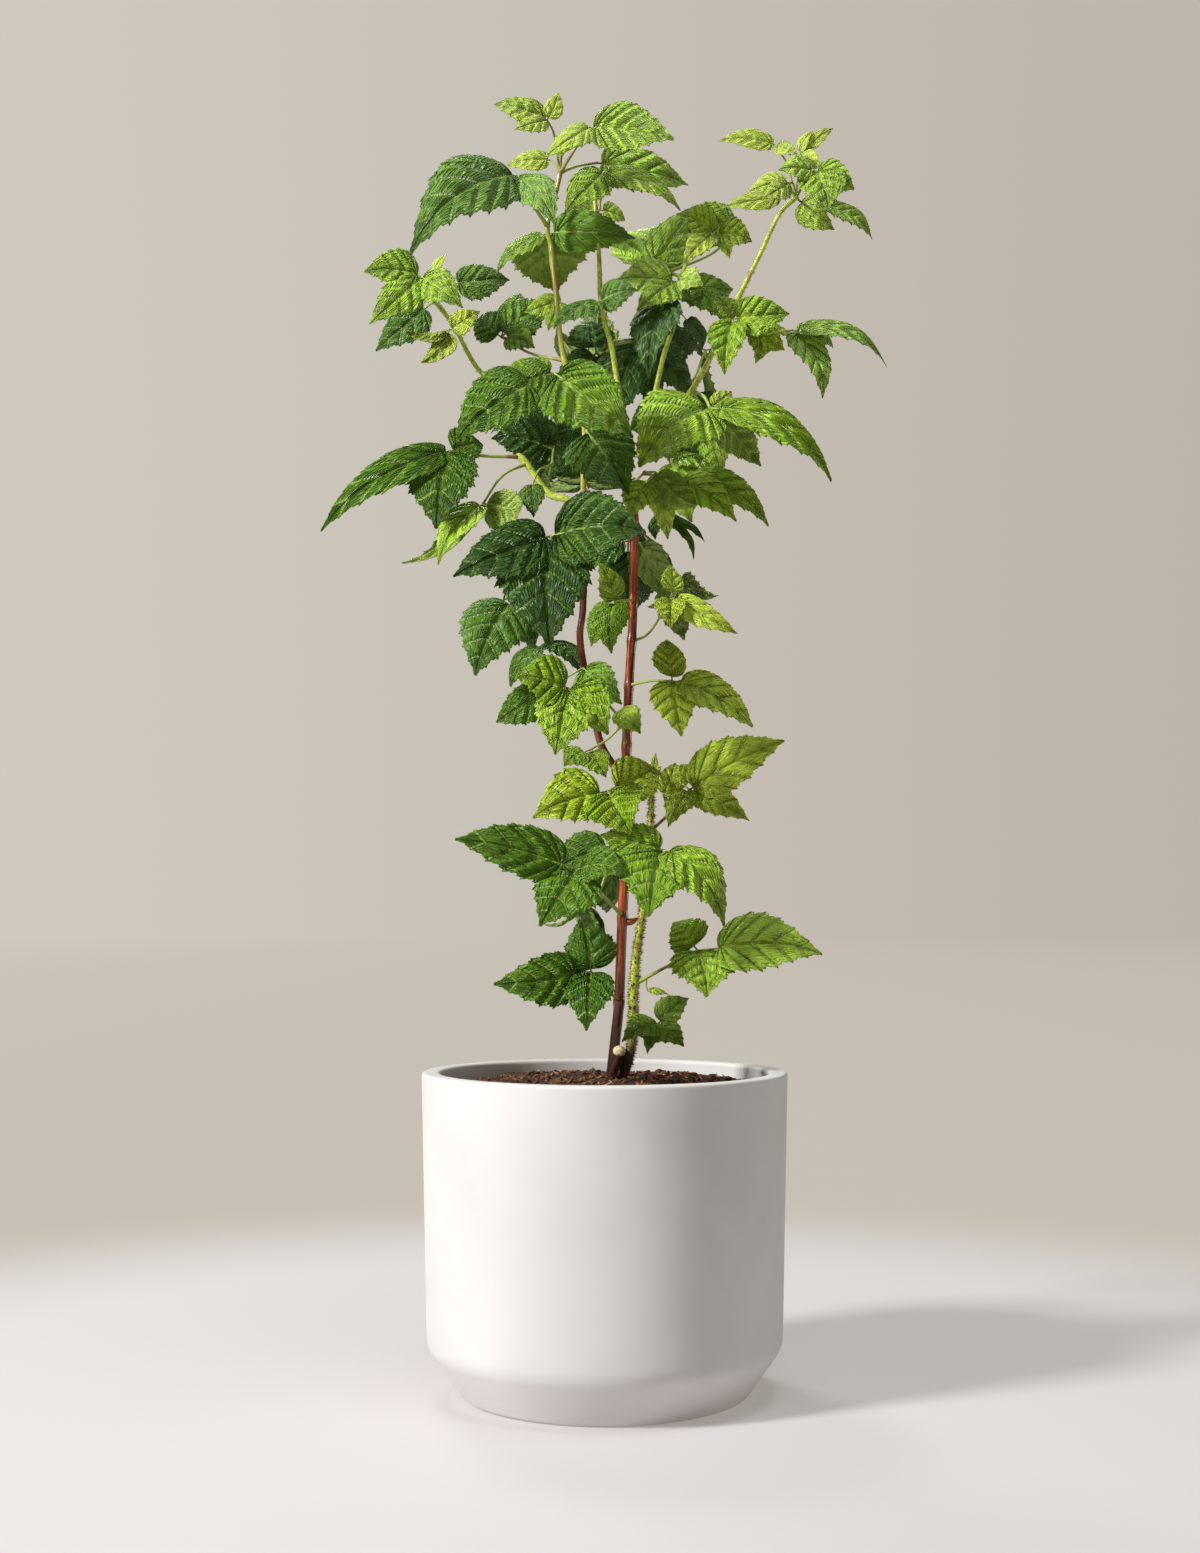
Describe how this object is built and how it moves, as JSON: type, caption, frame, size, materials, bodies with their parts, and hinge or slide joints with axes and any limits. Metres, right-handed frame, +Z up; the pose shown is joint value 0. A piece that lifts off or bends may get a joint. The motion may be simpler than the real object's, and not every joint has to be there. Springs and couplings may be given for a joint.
{
  "type": "potted raspberry plant",
  "caption": "Raspberry plant in a tapered matt clay pot: red-brown and green canes, toothed compound leaves, bark compost.",
  "frame": {"origin": "middle of the pot's flat underside, on the surface it stands on", "axes": "+X to the right, +Y to the back, +Z up the pot's axis; the plant's fullest side faces -Y"},
  "size_m": [0.4062, 0.254, 0.9152],
  "materials": {
    "clay_pot": "matte",
    "bark_compost": "matte",
    "root": "matte",
    "red_bark": "satin",
    "green_stem": "satin",
    "leaf_old": "satin",
    "leaf_mid": "satin",
    "leaf_young": "satin"
  },
  "bodies": {
    "root": {"pot": "clay_pot", "soil": "bark_compost", "root_crown": "root", "cane_main": "red_bark", "cane_left": "red_bark", "stem_middle": "green_stem", "stem_right": "green_stem", "stem_far_right": "green_stem", "stem_upper_left": "green_stem", "stem_mid_left": "green_stem", "cane_young": "green_stem", "cane_cut_stub": "red_bark", "leaf_top": "leaf_mid", "leaf_top_left": "leaf_old", "leaf_top_back": "leaf_mid", "leaf_middle_top": "leaf_mid", "leaf_right_tip": "leaf_mid", "leaf_right_stem_tip": "leaf_young", "leaf_right_upright": "leaf_mid", "leaf_right_pale": "leaf_mid", "leaf_right_inner": "leaf_mid", "leaf_far_right_front": "leaf_young", "leaf_far_right_back": "leaf_young", "leaf_right_hanging": "leaf_old", "leaf_middle_low": "leaf_old", "leaf_middle_front": "leaf_old", "leaf_far_right_low": "leaf_old", "leaf_left_tip": "leaf_mid", "leaf_left_back": "leaf_old", "leaf_left_outer": "leaf_old", "leaf_left_underside": "leaf_young", "leaf_left_inner": "leaf_old", "leaf_front_high": "leaf_mid", "leaf_front_small": "leaf_mid", "leaf_right_fan": "leaf_mid", "leaf_right_middle": "leaf_mid", "leaf_right_back": "leaf_old", "leaf_far_left": "leaf_mid", "leaf_mid_left": "leaf_mid", "leaf_mid_left_inner": "leaf_old", "leaf_front_trio": "leaf_old", "leaf_behind_cane": "leaf_old", "leaf_right_small": "leaf_young", "leaf_left_low": "leaf_old", "leaf_cane_cluster": "leaf_mid", "leaf_bright_trio": "leaf_mid", "leaf_left_dark": "leaf_old", "leaf_cane_low": "leaf_mid", "leaf_right_trio": "leaf_young", "leaf_cane_lime": "leaf_young", "leaf_young_high": "leaf_young", "leaf_low_left": "leaf_mid", "leaf_low_front": "leaf_mid", "leaf_bottom_left": "leaf_mid", "leaf_bottom_right": "leaf_mid", "leaf_back_upper": "leaf_old", "leaf_back_right": "leaf_old", "leaf_back_middle": "leaf_old", "leaf_back_low": "leaf_old", "leaf_bottom_dark": "leaf_old"}
  },
  "joints": []
}
